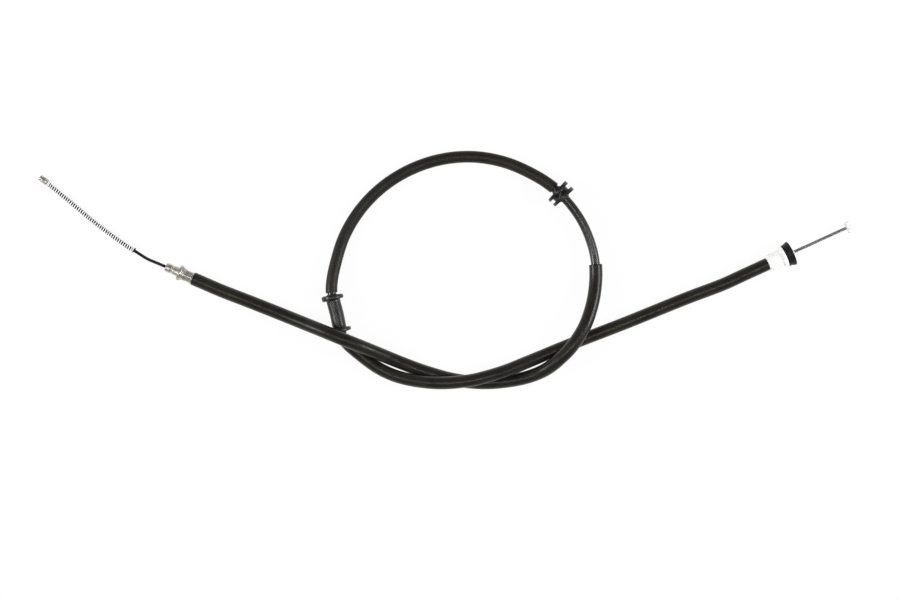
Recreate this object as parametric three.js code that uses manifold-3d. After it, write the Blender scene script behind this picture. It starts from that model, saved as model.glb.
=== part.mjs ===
// Parking brake cable, tied in one loose overhand knot as it lies on a flat surface.
// Millimetres, +Z up, origin under the middle of the whole cable at the surface.
import * as THREE from 'three';
import Module from 'manifold-3d';
import * as BufferGeometryUtils from 'three/addons/utils/BufferGeometryUtils.js';

const wasm = await Module();
wasm.setup();

// Clearances
const seatGap = 0.3;          // between pieces that touch
const slideGap = 0.6;         // radial, around the sliding inner cable
const sleeveGap = 0.4;        // radial, between the casing and the sleeves over it
const grommetGap = 0.6;       // radial, between the casing and the grommets on it
const endGap = 1.9;           // between a grommet and the cut end of a sleeve beside it

// Inner cable, a steel strand that slides in the casing
const cableDiameter = 3;
const travelOut = 36;         // how far the lever end can be pulled out of the ferrule
const travelIn = 18;          // how far it can be let back in
const tailMargin = 4;         // strand left in its bore at the end of its travel
const middleMargin = 3;       // left free before the middle of the strand when a tail is all the way in

// Casing and the rubber sleeves on it
const casingDiameter = 9;
const sleeveLeverDiameter = 13.2;
const sleeveLoopDiameter = 11.8;
const sleeveWheelDiameter = 12.7;
const sleeveLeverLength = 503.8;
const bareLength = 73.2;       // casing left bare between the lever sleeve and the short grommet
const sleeveLoopLength = 307.4;

// Ferrule at the lever end, measured from its nose along its axis
const ferruleNose = { diameter: 9.2, length: 6.4, round: 2.4, mouth: 0.8 };
const ferruleGroove = { diameter: 7.6, length: 1.2 };
const ferruleNeck = { front: 8.8, back: 10, length: 6.4, step: 0.3 };
const ferruleCollar = { diameter: 15.6, length: 2.7 };
const ferruleRing = { diameter: 13.2, length: 1.7 };
const ferruleBarrel = { diameter: 12, length: 10.9 };
const ferruleChamfer = 0.5;
const crimp = { flats: 6, depth: 0.5, length: 6.5, behindMiddle: 0.5 };

// Return spring round the strand, between the lever nipple and the bare strand
const springWire = 1.2;
const springInside = 3.7;
const springPitch = 2.43;
const springLength = 110;
const springDeadTurns = 1.5;
const springDeadGap = 0.25;   // between the wires of the closed turns at both ends

// Nipples swaged on the ends of the strand
const leverNipple = { diameter: 6.4, length: 9, dome: 1.4, shoulder: 0.42, chamfer: 0.4, socket: 6 };
const nippleGroove = { depth: 0.35, slope: 0.3, floor: 0.6 };
const wheelBarrel = { diameter: 6, length: 11.5, chamfer: 0.6, reach: 62.3 };

// Grommets on the casing
const shortGrommet = {
  flange: 25.6, flangeLength: 3.6, edge: 0.5, core: 18, coreLength: 3.8, hub: 11, hubLength: 1.2, hubFlare: 1,
};
const longGrommet = {
  flange: 22, flangeLength: 4.4, edge: 1.4, tube: 13, tubeLength: 28.4, neck: 11.4, neckLength: 2,
};

// Bush and seal at the wheel end, measured back from the seal's face along its axis
const sealRing = { diameter: 25, length: 7.5, edge: 1 };
const bushFlange = { diameter: 22.6, length: 2.6, edge: 0.6 };
const bushBody = { diameter: 17, length: 13.4, taper: 13.4, taperLength: 2.6 };
const bushSpigot = { diameter: 16, chamfer: 0.8 };
const bushRecess = 0.6;       // how far the bush's front face stands back inside the seal
const bushSocket = 14.4;      // depth of the casing's seat in the bush
const liner = { outside: 5, inside: 3.8, snout: 2.6 };

// Facets
const roundSides = 18;
const grommetSides = 20;
const cordSides = 12;
const boreSides = 8;
const strandSides = 8;
const coreSides = 6;
const coilSteps = 9;
const wireSides = 5;
const leverStrandSteps = 22;
const wheelStrandSteps = 4;
const cordStep = 2 * casingDiameter; // longest chord of the casing and the sleeves
const nearestJoint = 1;              // a joint nearer than this to a piece's end is left out of it
const tangentReach = 0.5;            // how far to both sides of a place its direction is taken

// Axes of the two ends
const up = new THREE.Vector3(0, 0, 1);
const turnedAxis = new THREE.Vector3(0, 1, 0);
const degrees = THREE.MathUtils.degToRad(1);
const heading = (angle) => new THREE.Vector3(Math.cos(angle * degrees), Math.sin(angle * degrees), 0);
const leverInward = heading(-23.3);
const wheelOutward = heading(24.6);
const leverNose = new THREE.Vector3(-280.2, 3.3, ferruleCollar.diameter / 2);
const sealFace = new THREE.Vector3(343.9, 17, sealRing.diameter / 2);
const onLeverAxis = (distance) => leverNose.clone().addScaledVector(leverInward, distance);
const onWheelAxis = (distance) => sealFace.clone().addScaledVector(wheelOutward, distance);

// Distances along the ferrule and the bush that the pieces share
const collarFront = ferruleNose.length + ferruleGroove.length + ferruleNeck.length;
const collarBack = collarFront + ferruleCollar.length;
const barrelStart = collarBack + ferruleRing.length;
const ferruleLength = barrelStart + ferruleBarrel.length;
const casingStart = barrelStart + seatGap;
const bushBack = sealRing.length + bushFlange.length + bushBody.length + bushBody.taperLength;
const casingEnd = bushBack - bushSocket + seatGap;
const leverTail = travelOut + tailMargin;
const wheelTail = travelIn + tailMargin;
const middleInset = {
  lever: leverTail + travelIn + middleMargin,
  wheel: wheelTail + travelOut + middleMargin,
};

// Route of the casing's centre line, from the ferrule to the bush
const casingRoute = new THREE.CatmullRomCurve3([
  onLeverAxis(casingStart),
  onLeverAxis(40),
  onLeverAxis(60),
  new THREE.Vector3(-194.5, -32.3, 7.2),
  new THREE.Vector3(-166.5, -43.3, 9.6),
  new THREE.Vector3(-138.5, -54.2, 18),
  new THREE.Vector3(-118, -62.1, 25.8),
  new THREE.Vector3(-104, -67.8, 28.6),
  new THREE.Vector3(-91, -73.1, 26.4),
  new THREE.Vector3(-71, -81.6, 17.4),
  new THREE.Vector3(-47, -91.8, 9.4),
  new THREE.Vector3(-22.6, -101, 6.9),
  new THREE.Vector3(8.2, -109.5, 6.6),
  new THREE.Vector3(39.6, -112.5, 6.6),
  new THREE.Vector3(73.9, -108.6, 7.2),
  new THREE.Vector3(91.6, -102.9, 9.4),
  new THREE.Vector3(102.8, -96.6, 14),
  new THREE.Vector3(113.4, -87.6, 17.7),
  new THREE.Vector3(124.6, -75.8, 19.9),
  new THREE.Vector3(137.2, -56.2, 18.6),
  new THREE.Vector3(145.3, -33.5, 14.6),
  new THREE.Vector3(148.9, -9.8, 11.4),
  new THREE.Vector3(148.2, 10, 10.6),
  new THREE.Vector3(143.2, 29.9, 11),
  new THREE.Vector3(134, 50, 12),
  new THREE.Vector3(121.1, 67.8, 12.8),
  new THREE.Vector3(106.8, 82, 12.8),
  new THREE.Vector3(89, 94, 11.5),
  new THREE.Vector3(59.9, 107.3, 7.8),
  new THREE.Vector3(28.3, 113.3, 6),
  new THREE.Vector3(-3.9, 111.1, 5.9),
  new THREE.Vector3(-34.5, 101.3, 5.9),
  new THREE.Vector3(-62.1, 84.7, 5.9),
  new THREE.Vector3(-85, 62.1, 5.9),
  new THREE.Vector3(-101.8, 34.7, 6.1),
  new THREE.Vector3(-111.4, 3.9, 8.6),
  new THREE.Vector3(-114.2, -11.5, 10.4),
  new THREE.Vector3(-114.5, -22.3, 11),
  new THREE.Vector3(-109.5, -43.3, 11),
  new THREE.Vector3(-104.5, -64.3, 11),
  new THREE.Vector3(-99.5, -72.5, 10.6),
  new THREE.Vector3(-88.2, -82.7, 9.8),
  new THREE.Vector3(-65.5, -99, 10.2),
  new THREE.Vector3(-42.9, -107.8, 12.4),
  new THREE.Vector3(-8.5, -112.1, 19.4),
  new THREE.Vector3(22.6, -109.8, 20.4),
  new THREE.Vector3(41, -105.6, 19.4),
  new THREE.Vector3(59.6, -99.9, 16.2),
  new THREE.Vector3(77.9, -92.8, 11.4),
  new THREE.Vector3(95.9, -85.6, 7.8),
  new THREE.Vector3(126, -73.3, 6.4),
  new THREE.Vector3(180.3, -52.2, 6.6),
  new THREE.Vector3(239.6, -28.1, 8.6),
  onWheelAxis(-75),
  onWheelAxis(-55),
  onWheelAxis(-35),
  onWheelAxis(-casingEnd),
]);
casingRoute.arcLengthDivisions = 4000;

// Route of the strand at the lever end, from the nipple to its tail in the ferrule
const leverRoute = new THREE.CatmullRomCurve3([
  new THREE.Vector3(-407, 93, 3.4),
  new THREE.Vector3(-399.6, 87.4, 3.4),
  new THREE.Vector3(-375.8, 67.9, 3.6),
  new THREE.Vector3(-350.1, 46.6, 4.2),
  new THREE.Vector3(-324.6, 27.9, 5.4),
  new THREE.Vector3(-308.6, 17.3, 6.6),
  onLeverAxis(-20),
  onLeverAxis(-8),
  onLeverAxis(0),
  onLeverAxis(leverTail),
]);
leverRoute.arcLengthDivisions = 2000;

// Places along the casing, from its end in the ferrule
const casingLength = casingRoute.getLength();
const shortGrommetLength = 2 * (shortGrommet.hubLength + shortGrommet.flangeLength) + shortGrommet.coreLength;
const longGrommetLength = 2 * (longGrommet.neckLength + longGrommet.flangeLength) + longGrommet.tubeLength;
const sleeveLeverStart = ferruleLength + seatGap - casingStart;
const sleeveLeverEnd = sleeveLeverStart + sleeveLeverLength;
const shortGrommetStart = sleeveLeverEnd + bareLength;
const shortGrommetEnd = shortGrommetStart + shortGrommetLength;
const sleeveLoopStart = shortGrommetEnd + endGap;
const sleeveLoopEnd = sleeveLoopStart + sleeveLoopLength;
const longGrommetStart = sleeveLoopEnd + endGap;
const longGrommetEnd = longGrommetStart + longGrommetLength;
const sleeveWheelStart = longGrommetEnd + endGap;
const sleeveWheelEnd = casingLength - (bushBack - casingEnd) - seatGap;

// The casing and what is nested on it or in it share one chain of straight chords along the route
const shortStep = casingDiameter; // the chords beside the long grommet, where the casing bends most
const anchors = [
  0,
  shortGrommetStart,
  shortGrommetEnd,
  longGrommetStart - 2 * shortStep,
  longGrommetStart - shortStep,
  longGrommetStart,
  longGrommetEnd,
  longGrommetEnd + shortStep,
  longGrommetEnd + 2 * shortStep,
  casingLength,
];
const chain = anchors.slice(1).reduce((distances, to) => {
  const from = distances[distances.length - 1];
  const count = Math.ceil((to - from) / cordStep);
  return distances.concat(Array.from({ length: count }, (_, i) => from + ((to - from) * (i + 1)) / count));
}, [0]);
const joints = chain.map((distance) => casingRoute.getPointAt(Math.min(distance / casingLength, 1)));

function onChords(distance) {
  const after = chain.findIndex((joint, i) => joint >= distance || i === chain.length - 1);
  const second = Math.max(after, 1);
  const first = second - 1;
  const part = (distance - chain[first]) / (chain[second] - chain[first]);
  return joints[first].clone().lerp(joints[second], part);
}

function alongChords(distance, from, to) {
  const ahead = Math.min(distance + tangentReach, to);
  const behind = Math.max(distance - tangentReach, from);
  return onChords(ahead).sub(onChords(behind)).normalize();
}

function jointsBetween(from, to) {
  return chain.filter((distance) => distance > from + nearestJoint && distance < to - nearestJoint);
}

// A stretch of that chain, with a section at each end and at each joint between them
class Stretch extends THREE.Curve {
  constructor(from, to) {
    super();
    this.distances = [from, ...jointsBetween(from, to), to];
    this.steps = this.distances.length - 1;
  }

  distanceAt(u) {
    return this.distances[Math.round(u * this.steps)];
  }

  getPointAt(u, target = new THREE.Vector3()) {
    return target.copy(onChords(this.distanceAt(u)));
  }

  getTangentAt(u, target = new THREE.Vector3()) {
    return target.copy(alongChords(this.distanceAt(u), this.distances[0], this.distances[this.steps]));
  }
}

// A part of the lever end's route, between two distances along it
class Part extends THREE.Curve {
  constructor(route, from, to) {
    super();
    this.route = route;
    this.from = from;
    this.to = to;
  }

  getPoint(t, target = new THREE.Vector3()) {
    const distance = THREE.MathUtils.lerp(this.from, this.to, t);
    return this.route.getPointAt(THREE.MathUtils.clamp(distance / this.route.getLength(), 0, 1), target);
  }
}

// The centre line of a coil wound round another curve, right-handed, with close turns at both ends
class Coil extends THREE.Curve {
  constructor(core, radius, pitch, closePitch, closeTurns) {
    super();
    this.core = core;
    this.radius = radius;
    this.closeTurns = closeTurns;
    this.closeLength = closeTurns * closePitch;
    this.openLength = core.getLength() - 2 * this.closeLength;
    this.openTurns = Math.round(this.openLength / pitch);
    this.turns = this.openTurns + 2 * closeTurns;
  }

  distanceAt(turn) {
    if (turn < this.closeTurns) return (turn / this.closeTurns) * this.closeLength;
    const past = turn - this.closeTurns;
    if (past < this.openTurns) return this.closeLength + (past / this.openTurns) * this.openLength;
    const last = past - this.openTurns;
    return this.closeLength + this.openLength + (last / this.closeTurns) * this.closeLength;
  }

  getPoint(t, target = new THREE.Vector3()) {
    const turn = t * this.turns;
    const along = THREE.MathUtils.clamp(this.distanceAt(turn) / this.core.getLength(), 0, 1);
    const forward = this.core.getTangentAt(along);
    const side = new THREE.Vector3().crossVectors(up, forward).normalize();
    const over = new THREE.Vector3().crossVectors(forward, side);
    const angle = 2 * Math.PI * turn;
    return target.copy(this.core.getPointAt(along))
      .addScaledVector(side, this.radius * Math.cos(angle))
      .addScaledVector(over, this.radius * Math.sin(angle));
  }
}

// Geometry helpers
function polygon(radius, sides) {
  return Array.from({ length: sides }, (_, i) => {
    const angle = (2 * Math.PI * (i + 0.5)) / sides;
    return new THREE.Vector2(radius * Math.cos(angle), radius * Math.sin(angle));
  });
}

// A hole's polygon is drawn round its circle, so that its flats leave the full radius free
const holePolygon = (radius, sides) => polygon(radius / Math.cos(Math.PI / sides), sides);

function tube(curve, steps, outside, sides, inside = 0, insideSides = boreSides) {
  const section = new THREE.Shape(polygon(outside / 2, sides));
  if (inside > 0) section.holes.push(new THREE.Path(holePolygon(inside / 2, insideSides)));
  return new THREE.ExtrudeGeometry(section, { extrudePath: curve, steps });
}

// A turned piece: its outline goes up the outside and comes back down its bore, as [radius, distance]
function turned(outline, sides) {
  const points = outline.map(([radius, distance]) => new THREE.Vector2(radius, distance));
  return new THREE.LatheGeometry(points, sides);
}

const bore = (diameter, sides) => diameter / 2 / Math.cos(Math.PI / sides);

function roundedCorner(radius, distance, size, from, count = 3) {
  return Array.from({ length: count + 1 }, (_, i) => {
    const angle = (from + (90 * i) / count) * degrees;
    return [radius + size * Math.cos(angle), distance + size * Math.sin(angle)];
  });
}

function solidOf(geometry) {
  const bare = geometry.clone();
  bare.deleteAttribute('normal');
  bare.deleteAttribute('uv');
  const merged = BufferGeometryUtils.mergeVertices(bare, 1e-4);
  const index = Array.from(merged.index.array);
  const kept = [];
  for (let i = 0; i < index.length; i += 3) {
    const [a, b, c] = index.slice(i, i + 3);
    if (a !== b && b !== c && c !== a) kept.push(a, b, c);
  }
  return new wasm.Manifold(new wasm.Mesh({
    numProp: 3,
    vertProperties: new Float32Array(merged.attributes.position.array),
    triVerts: new Uint32Array(kept),
  }));
}

function geometryOf(solid) {
  const mesh = solid.getMesh();
  const geometry = new THREE.BufferGeometry();
  geometry.setAttribute('position', new THREE.BufferAttribute(mesh.vertProperties, 3));
  geometry.setIndex(new THREE.BufferAttribute(mesh.triVerts, 1));
  geometry.computeVertexNormals();
  return geometry;
}

function placed(geometry, origin, direction) {
  const turn = new THREE.Quaternion().setFromUnitVectors(turnedAxis, direction);
  return geometry.applyQuaternion(turn).translate(origin.x, origin.y, origin.z);
}

const group = new THREE.Group();

function add(name, geometry, material) {
  const mesh = new THREE.Mesh(geometry, material);
  mesh.name = name;
  group.add(mesh);
  return mesh;
}

// Materials
const finish = (color, roughness, metalness = 0) => (
  new THREE.MeshStandardMaterial({ color, roughness, metalness })
);
const zinc = finish(0xa6a394, 0.35, 1);
const springSteel = finish(0xd8d8d4, 0.3, 1);
const darkStrand = finish(0x17181a, 0.4, 0.4);
const casingPlastic = finish(0x141415, 0.35);
const sleeveRubber = finish(0x1b1b19, 0.5);
const grommetRubber = finish(0x191917, 0.6);
const nylon = finish(0xf2f0ea, 0.5);
const sealRubber = finish(0x0e0e0f, 0.55);

// Strand
function makeLeverStrand() {
  const start = leverNipple.length - leverNipple.socket + seatGap;
  const part = new Part(leverRoute, start, leverRoute.getLength());
  add('inner_cable_lever_end', tube(part, leverStrandSteps, cableDiameter, strandSides), darkStrand);
}

function makeMiddleStrand() {
  const from = middleInset.lever - casingStart;
  const to = casingLength - (middleInset.wheel - casingEnd);
  const stretch = new Stretch(from, to);
  add('inner_cable_middle', tube(stretch, stretch.steps, cableDiameter, coreSides), darkStrand);
}

function makeWheelStrand() {
  const line = new THREE.LineCurve3(onWheelAxis(-wheelTail), onWheelAxis(wheelBarrel.reach));
  add('inner_cable_wheel_end', tube(line, wheelStrandSteps, cableDiameter, strandSides), darkStrand);
}

// Ends of the strand
function makeLeverNipple() {
  const { diameter, length, dome, shoulder, chamfer, socket } = leverNipple;
  const radius = diameter / 2;
  const mouth = bore(cableDiameter + 2 * seatGap, roundSides);
  const { depth, slope, floor } = nippleGroove;
  const grooveFloor = dome + slope;
  const outline = [
    [0, 0],
    [radius - dome, 0],
    [radius - shoulder, shoulder],
    [radius, dome],
    [radius - depth, grooveFloor],
    [radius - depth, grooveFloor + floor],
    [radius, grooveFloor + floor + slope],
    [radius, length - chamfer],
    [radius - chamfer, length],
    [mouth, length],
    [mouth, length - socket],
    [0, length - socket],
  ];
  const start = leverRoute.getPointAt(0);
  const direction = leverRoute.getPointAt(length / leverRoute.getLength()).sub(start).normalize();
  add('lever_nipple', placed(turned(outline, roundSides), start, direction), zinc);
}

function makeWheelBarrel() {
  const { diameter, length, chamfer, reach } = wheelBarrel;
  const radius = diameter / 2;
  const outline = [
    [0, -length / 2],
    [radius - chamfer, -length / 2],
    [radius, chamfer - length / 2],
    [radius, length / 2 - chamfer],
    [radius - chamfer, length / 2],
    [0, length / 2],
  ];
  const across = new THREE.Vector3().crossVectors(up, wheelOutward);
  const body = solidOf(placed(turned(outline, roundSides), onWheelAxis(reach), across));
  const hole = new THREE.LineCurve3(onWheelAxis(reach - diameter), onWheelAxis(reach + seatGap));
  const cutter = solidOf(tube(hole, 1, 2 * bore(cableDiameter + 2 * seatGap, roundSides), roundSides));
  add('wheel_barrel', geometryOf(body.subtract(cutter)), zinc);
}

// Return spring
function makeSpring() {
  const from = leverNipple.length + seatGap + springWire / 2;
  const core = new Part(leverRoute, from, from + springLength);
  core.arcLengthDivisions = 1000;
  const radius = (springInside + springWire) / 2;
  const coil = new Coil(core, radius, springPitch, springWire + springDeadGap, springDeadTurns);
  coil.arcLengthDivisions = Math.ceil(coil.turns) * 24;
  const steps = Math.round(coil.turns * coilSteps);
  add('return_spring', tube(coil, steps, springWire, wireSides), springSteel);
}

// Ferrule: nose, groove, neck, collar, ring and a barrel crimped over the casing
function makeFerrule() {
  const noseRadius = ferruleNose.diameter / 2;
  const cableBore = bore(cableDiameter + 2 * slideGap, roundSides);
  const casingBore = bore(casingDiameter + 2 * seatGap, roundSides);
  const grooveStart = ferruleNose.length;
  const neckStart = grooveStart + ferruleGroove.length;
  const chamfer = ferruleChamfer;
  const outline = [
    [cableBore + ferruleNose.mouth, 0],
    ...roundedCorner(noseRadius - ferruleNose.round, ferruleNose.round, ferruleNose.round, -90),
    [noseRadius, grooveStart - chamfer],
    [ferruleGroove.diameter / 2, grooveStart],
    [ferruleGroove.diameter / 2, neckStart],
    [ferruleNeck.front / 2, neckStart + ferruleNeck.step],
    [ferruleNeck.back / 2, collarFront],
    [ferruleCollar.diameter / 2 - chamfer, collarFront],
    [ferruleCollar.diameter / 2, collarFront + chamfer],
    [ferruleCollar.diameter / 2, collarBack - chamfer],
    [ferruleCollar.diameter / 2 - chamfer, collarBack],
    [ferruleRing.diameter / 2, collarBack],
    [ferruleRing.diameter / 2, barrelStart - chamfer],
    [ferruleBarrel.diameter / 2, barrelStart],
    [ferruleBarrel.diameter / 2, ferruleLength - chamfer],
    [ferruleBarrel.diameter / 2 - chamfer, ferruleLength],
    [casingBore, ferruleLength],
    [casingBore, barrelStart],
    [cableBore, barrelStart],
    [cableBore, ferruleNose.mouth],
    [cableBore + ferruleNose.mouth, 0],
  ];
  let body = solidOf(turned(outline, roundSides));
  const size = ferruleBarrel.diameter;
  const middle = (barrelStart + ferruleLength) / 2 + crimp.behindMiddle;
  for (let flat = 0; flat < crimp.flats; flat += 1) {
    const block = new THREE.BoxGeometry(size, crimp.length, size)
      .translate(size - crimp.depth, middle, 0)
      .rotateY((flat * 2 * Math.PI) / crimp.flats);
    body = body.subtract(solidOf(block));
  }
  add('lever_ferrule', placed(geometryOf(body), leverNose, leverInward), zinc);
}

// Casing and sleeves
const casingBoreDiameter = cableDiameter + 2 * slideGap;
const sleeveBoreDiameter = casingDiameter + 2 * sleeveGap;

function makeCasing() {
  const stretch = new Stretch(0, casingLength);
  add('casing', tube(stretch, stretch.steps, casingDiameter, boreSides, casingBoreDiameter), casingPlastic);
}

function makeSleeve(name, from, to, diameter) {
  const stretch = new Stretch(from, to);
  add(name, tube(stretch, stretch.steps, diameter, cordSides, sleeveBoreDiameter), sleeveRubber);
}

// Grommets, turned round the casing where the route carries them
function onRoute(geometry, from, length) {
  const start = onChords(from);
  const end = onChords(from + length);
  const direction = end.clone().sub(start).normalize();
  return placed(geometry, start.add(end).divideScalar(2).addScaledVector(direction, -length / 2), direction);
}

function makeShortGrommet() {
  const { flange, flangeLength, edge, core, coreLength, hub, hubLength, hubFlare } = shortGrommet;
  const inside = bore(casingDiameter + 2 * grommetGap, grommetSides);
  const flangeAt = (start) => [
    [flange / 2 - edge, start],
    [flange / 2, start + edge],
    [flange / 2, start + flangeLength - edge],
    [flange / 2 - edge, start + flangeLength],
  ];
  const first = hubLength;
  const second = hubLength + flangeLength + coreLength;
  const outline = [
    [hub / 2, 0],
    [hub / 2 + hubFlare, first],
    ...flangeAt(first),
    [core / 2, first + flangeLength],
    [core / 2, second],
    ...flangeAt(second),
    [hub / 2 + hubFlare, second + flangeLength],
    [hub / 2, shortGrommetLength],
    [inside, shortGrommetLength],
    [inside, 0],
    [hub / 2, 0],
  ];
  const geometry = turned(outline, grommetSides);
  add('short_grommet', onRoute(geometry, shortGrommetStart, shortGrommetLength), grommetRubber);
}

function makeLongGrommet() {
  const { flange, flangeLength, tube: body, neck, neckLength, edge } = longGrommet;
  const inside = bore(casingDiameter + 2 * grommetGap, grommetSides);
  const flangeAt = (start) => [
    ...roundedCorner(flange / 2 - edge, start + edge, edge, -90, 2),
    ...roundedCorner(flange / 2 - edge, start + flangeLength - edge, edge, 0, 2),
  ];
  const first = neckLength;
  const second = longGrommetLength - neckLength - flangeLength;
  const outline = [
    [neck / 2, 0],
    [neck / 2, first],
    ...flangeAt(first),
    [body / 2, first + flangeLength],
    [body / 2, second],
    ...flangeAt(second),
    [neck / 2, second + flangeLength],
    [neck / 2, longGrommetLength],
    [inside, longGrommetLength],
    [inside, 0],
    [neck / 2, 0],
  ];
  const geometry = turned(outline, grommetSides);
  add('long_grommet', onRoute(geometry, longGrommetStart, longGrommetLength), grommetRubber);
}

// Bush, seal and liner at the wheel end, drawn backwards from the seal's face
function makeBush() {
  const casingBore = bore(casingDiameter + 2 * seatGap, roundSides);
  const linerBore = bore(liner.outside + 2 * seatGap, roundSides);
  const flangeFront = -sealRing.length - seatGap;
  const flangeBack = flangeFront - bushFlange.length;
  const taperStart = -bushBack + bushBody.taperLength;
  const outline = [
    [casingBore, -bushBack],
    [bushBody.taper / 2, -bushBack],
    [bushBody.diameter / 2, taperStart],
    [bushBody.diameter / 2, flangeBack],
    [bushFlange.diameter / 2 - bushFlange.edge, flangeBack],
    [bushFlange.diameter / 2, flangeBack + bushFlange.edge],
    [bushFlange.diameter / 2, flangeFront],
    [bushSpigot.diameter / 2, flangeFront],
    [bushSpigot.diameter / 2, -bushRecess - bushSpigot.chamfer],
    [bushSpigot.diameter / 2 - bushSpigot.chamfer, -bushRecess],
    [linerBore, -bushRecess],
    [linerBore, -bushBack + bushSocket],
    [casingBore, -bushBack + bushSocket],
    [casingBore, -bushBack],
  ];
  add('wheel_bush', placed(turned(outline, roundSides), sealFace, wheelOutward), nylon);
}

function makeSeal() {
  const inside = bore(bushSpigot.diameter + 2 * seatGap, grommetSides);
  const { diameter, length, edge } = sealRing;
  const outline = [
    [inside, -length],
    ...roundedCorner(diameter / 2 - edge, edge - length, edge, -90),
    ...roundedCorner(diameter / 2 - edge, -edge, edge, 0),
    [inside, 0],
    [inside, -length],
  ];
  add('wheel_seal', placed(turned(outline, grommetSides), sealFace, wheelOutward), sealRubber);
}

function makeLiner() {
  const inside = bore(liner.inside, roundSides);
  const back = -bushBack + bushSocket + seatGap;
  const outline = [
    [inside, back],
    [liner.outside / 2, back],
    [liner.outside / 2, liner.snout],
    [inside, liner.snout],
    [inside, back],
  ];
  add('liner_snout', placed(turned(outline, roundSides), sealFace, wheelOutward), nylon);
}

makeLeverNipple();
makeSpring();
makeLeverStrand();
makeFerrule();
makeCasing();
makeMiddleStrand();
makeSleeve('sleeve_lever_side', sleeveLeverStart, sleeveLeverEnd, sleeveLeverDiameter);
makeShortGrommet();
makeSleeve('sleeve_loop', sleeveLoopStart, sleeveLoopEnd, sleeveLoopDiameter);
makeLongGrommet();
makeSleeve('sleeve_wheel_side', sleeveWheelStart, sleeveWheelEnd, sleeveWheelDiameter);
makeBush();
makeSeal();
makeLiner();
makeWheelStrand();
makeWheelBarrel();

export default group;
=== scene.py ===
"""Parking brake cable in one loose overhand knot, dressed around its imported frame."""

import math

import bmesh
import bpy
from bpy.props import FloatProperty, FloatVectorProperty, PointerProperty
from mathutils import Matrix, Quaternion, Vector


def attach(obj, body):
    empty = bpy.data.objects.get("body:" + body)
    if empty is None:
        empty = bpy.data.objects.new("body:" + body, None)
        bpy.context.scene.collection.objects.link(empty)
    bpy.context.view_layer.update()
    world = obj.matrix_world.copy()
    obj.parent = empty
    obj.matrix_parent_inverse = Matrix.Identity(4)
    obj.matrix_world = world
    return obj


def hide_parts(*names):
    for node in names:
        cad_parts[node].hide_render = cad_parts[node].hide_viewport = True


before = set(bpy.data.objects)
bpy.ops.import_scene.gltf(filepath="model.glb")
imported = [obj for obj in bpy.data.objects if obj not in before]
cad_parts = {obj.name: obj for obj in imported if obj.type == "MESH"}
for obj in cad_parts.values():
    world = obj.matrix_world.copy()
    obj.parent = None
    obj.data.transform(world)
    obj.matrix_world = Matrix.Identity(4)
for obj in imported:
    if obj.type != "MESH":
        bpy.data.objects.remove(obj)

bl_info = {
    "name": "Parking brake cable",
    "version": (1, 0, 0),
    "blender": (4, 5, 0),
    "location": "3D View > Sidebar > Brake cable",
    "description": "Casing, rubber sleeves, grommets and end fittings of a parking brake cable",
    "category": "Object",
}

MM = 0.001
UP = Vector((0, 0, 1))
RIB_FADE = 0.002


def size(millimetres, description="Along the axis"):
    """A length that a user may change, given in millimetres."""
    return FloatProperty(description=description, default=millimetres * MM, min=0, unit="LENGTH", precision=5)


def number(default, description, **more):
    """A plain number that a user may change."""
    return FloatProperty(description=description, default=default, **more)


def colour(rgb, description):
    """A linear colour that a user may change."""
    return FloatVectorProperty(description=description, default=rgb, min=0, max=1, size=3, subtype="COLOR")


def titled(group):
    """Shows each setting of a group under its own key, in plain words."""
    for key, setting in group.__annotations__.items():
        setting.keywords["name"] = key.replace("_", " ").capitalize()
    return group


@titled
class CasingSizes(bpy.types.PropertyGroup):
    """The plastic casing and the rubber sleeves pushed over it."""

    diameter: size(9, "Outside of the plastic casing")
    bore: size(4.2, "Passage of the inner cable")
    rib_pitch: size(1.9, "Turns of the spiral that shows through the plastic")
    rib_height: size(0.06, "How far the spiral stands proud")
    lever_sleeve: size(13.2, "Outside of the sleeve next to the ferrule")
    loop_sleeve: size(11.8, "Outside of the sleeve between the grommets")
    wheel_sleeve: size(12.7, "Outside of the sleeve next to the bush")
    sleeve_bore: size(9.6, "Inside of all three sleeves")
    lever_sleeve_length: size(503.8, "Cut length")
    bare_length: size(73.2, "Casing left bare before the short grommet")
    loop_sleeve_length: size(307.4, "Cut length")
    end_gap: size(1.9, "Between a grommet and the cut end of a sleeve")
    seat_gap: size(0.3, "Between pieces that touch")


@titled
class GrommetSizes(bpy.types.PropertyGroup):
    """The two rubber grommets on the casing."""

    bore: size(9.5, "Inside of both grommets")
    short_flange: size(25.6, "Diameter of both flanges")
    short_flange_length: size(3.6)
    short_core: size(18, "Diameter between the flanges")
    short_core_length: size(3.8)
    short_hub: size(10.6, "Diameter at the thin ends")
    short_hub_length: size(1.2)
    long_flange: size(22, "Diameter of both flanges")
    long_flange_length: size(4.9)
    long_tube: size(14, "Diameter between the flanges")
    long_tube_length: size(28.7)
    long_neck: size(11, "Diameter at the thin ends")
    long_first_neck: size(0.7, "Beside the loop sleeve, along the casing")
    long_second_neck: size(2, "Beside the wheel sleeve, along the casing")


@titled
class FerruleSizes(bpy.types.PropertyGroup):
    """The plated ferrule at the lever end, from its nose backwards."""

    nose: size(9.2, "Rounded bead in front")
    nose_length: size(6.4)
    nose_round: size(2.4, "Rounding of the bead")
    groove: size(7.6, "Behind the bead")
    groove_length: size(1.2)
    neck_front: size(8.8, "Diameter behind the groove")
    neck_back: size(10, "Diameter at the collar")
    neck_length: size(6.4)
    collar: size(15.6, "Stop against the bracket")
    collar_length: size(2.7)
    ring: size(13.2, "Smaller ring behind the collar")
    ring_length: size(1.7)
    barrel: size(12, "Crimped over the casing")
    barrel_length: size(10.9)
    crimp_depth: size(0.5, "Depth of the six crimped flats")
    crimp_length: size(6.5)
    cable_bore: size(4.2, "Passage of the inner cable")
    casing_bore: size(9.6, "Seat of the casing")


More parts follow.
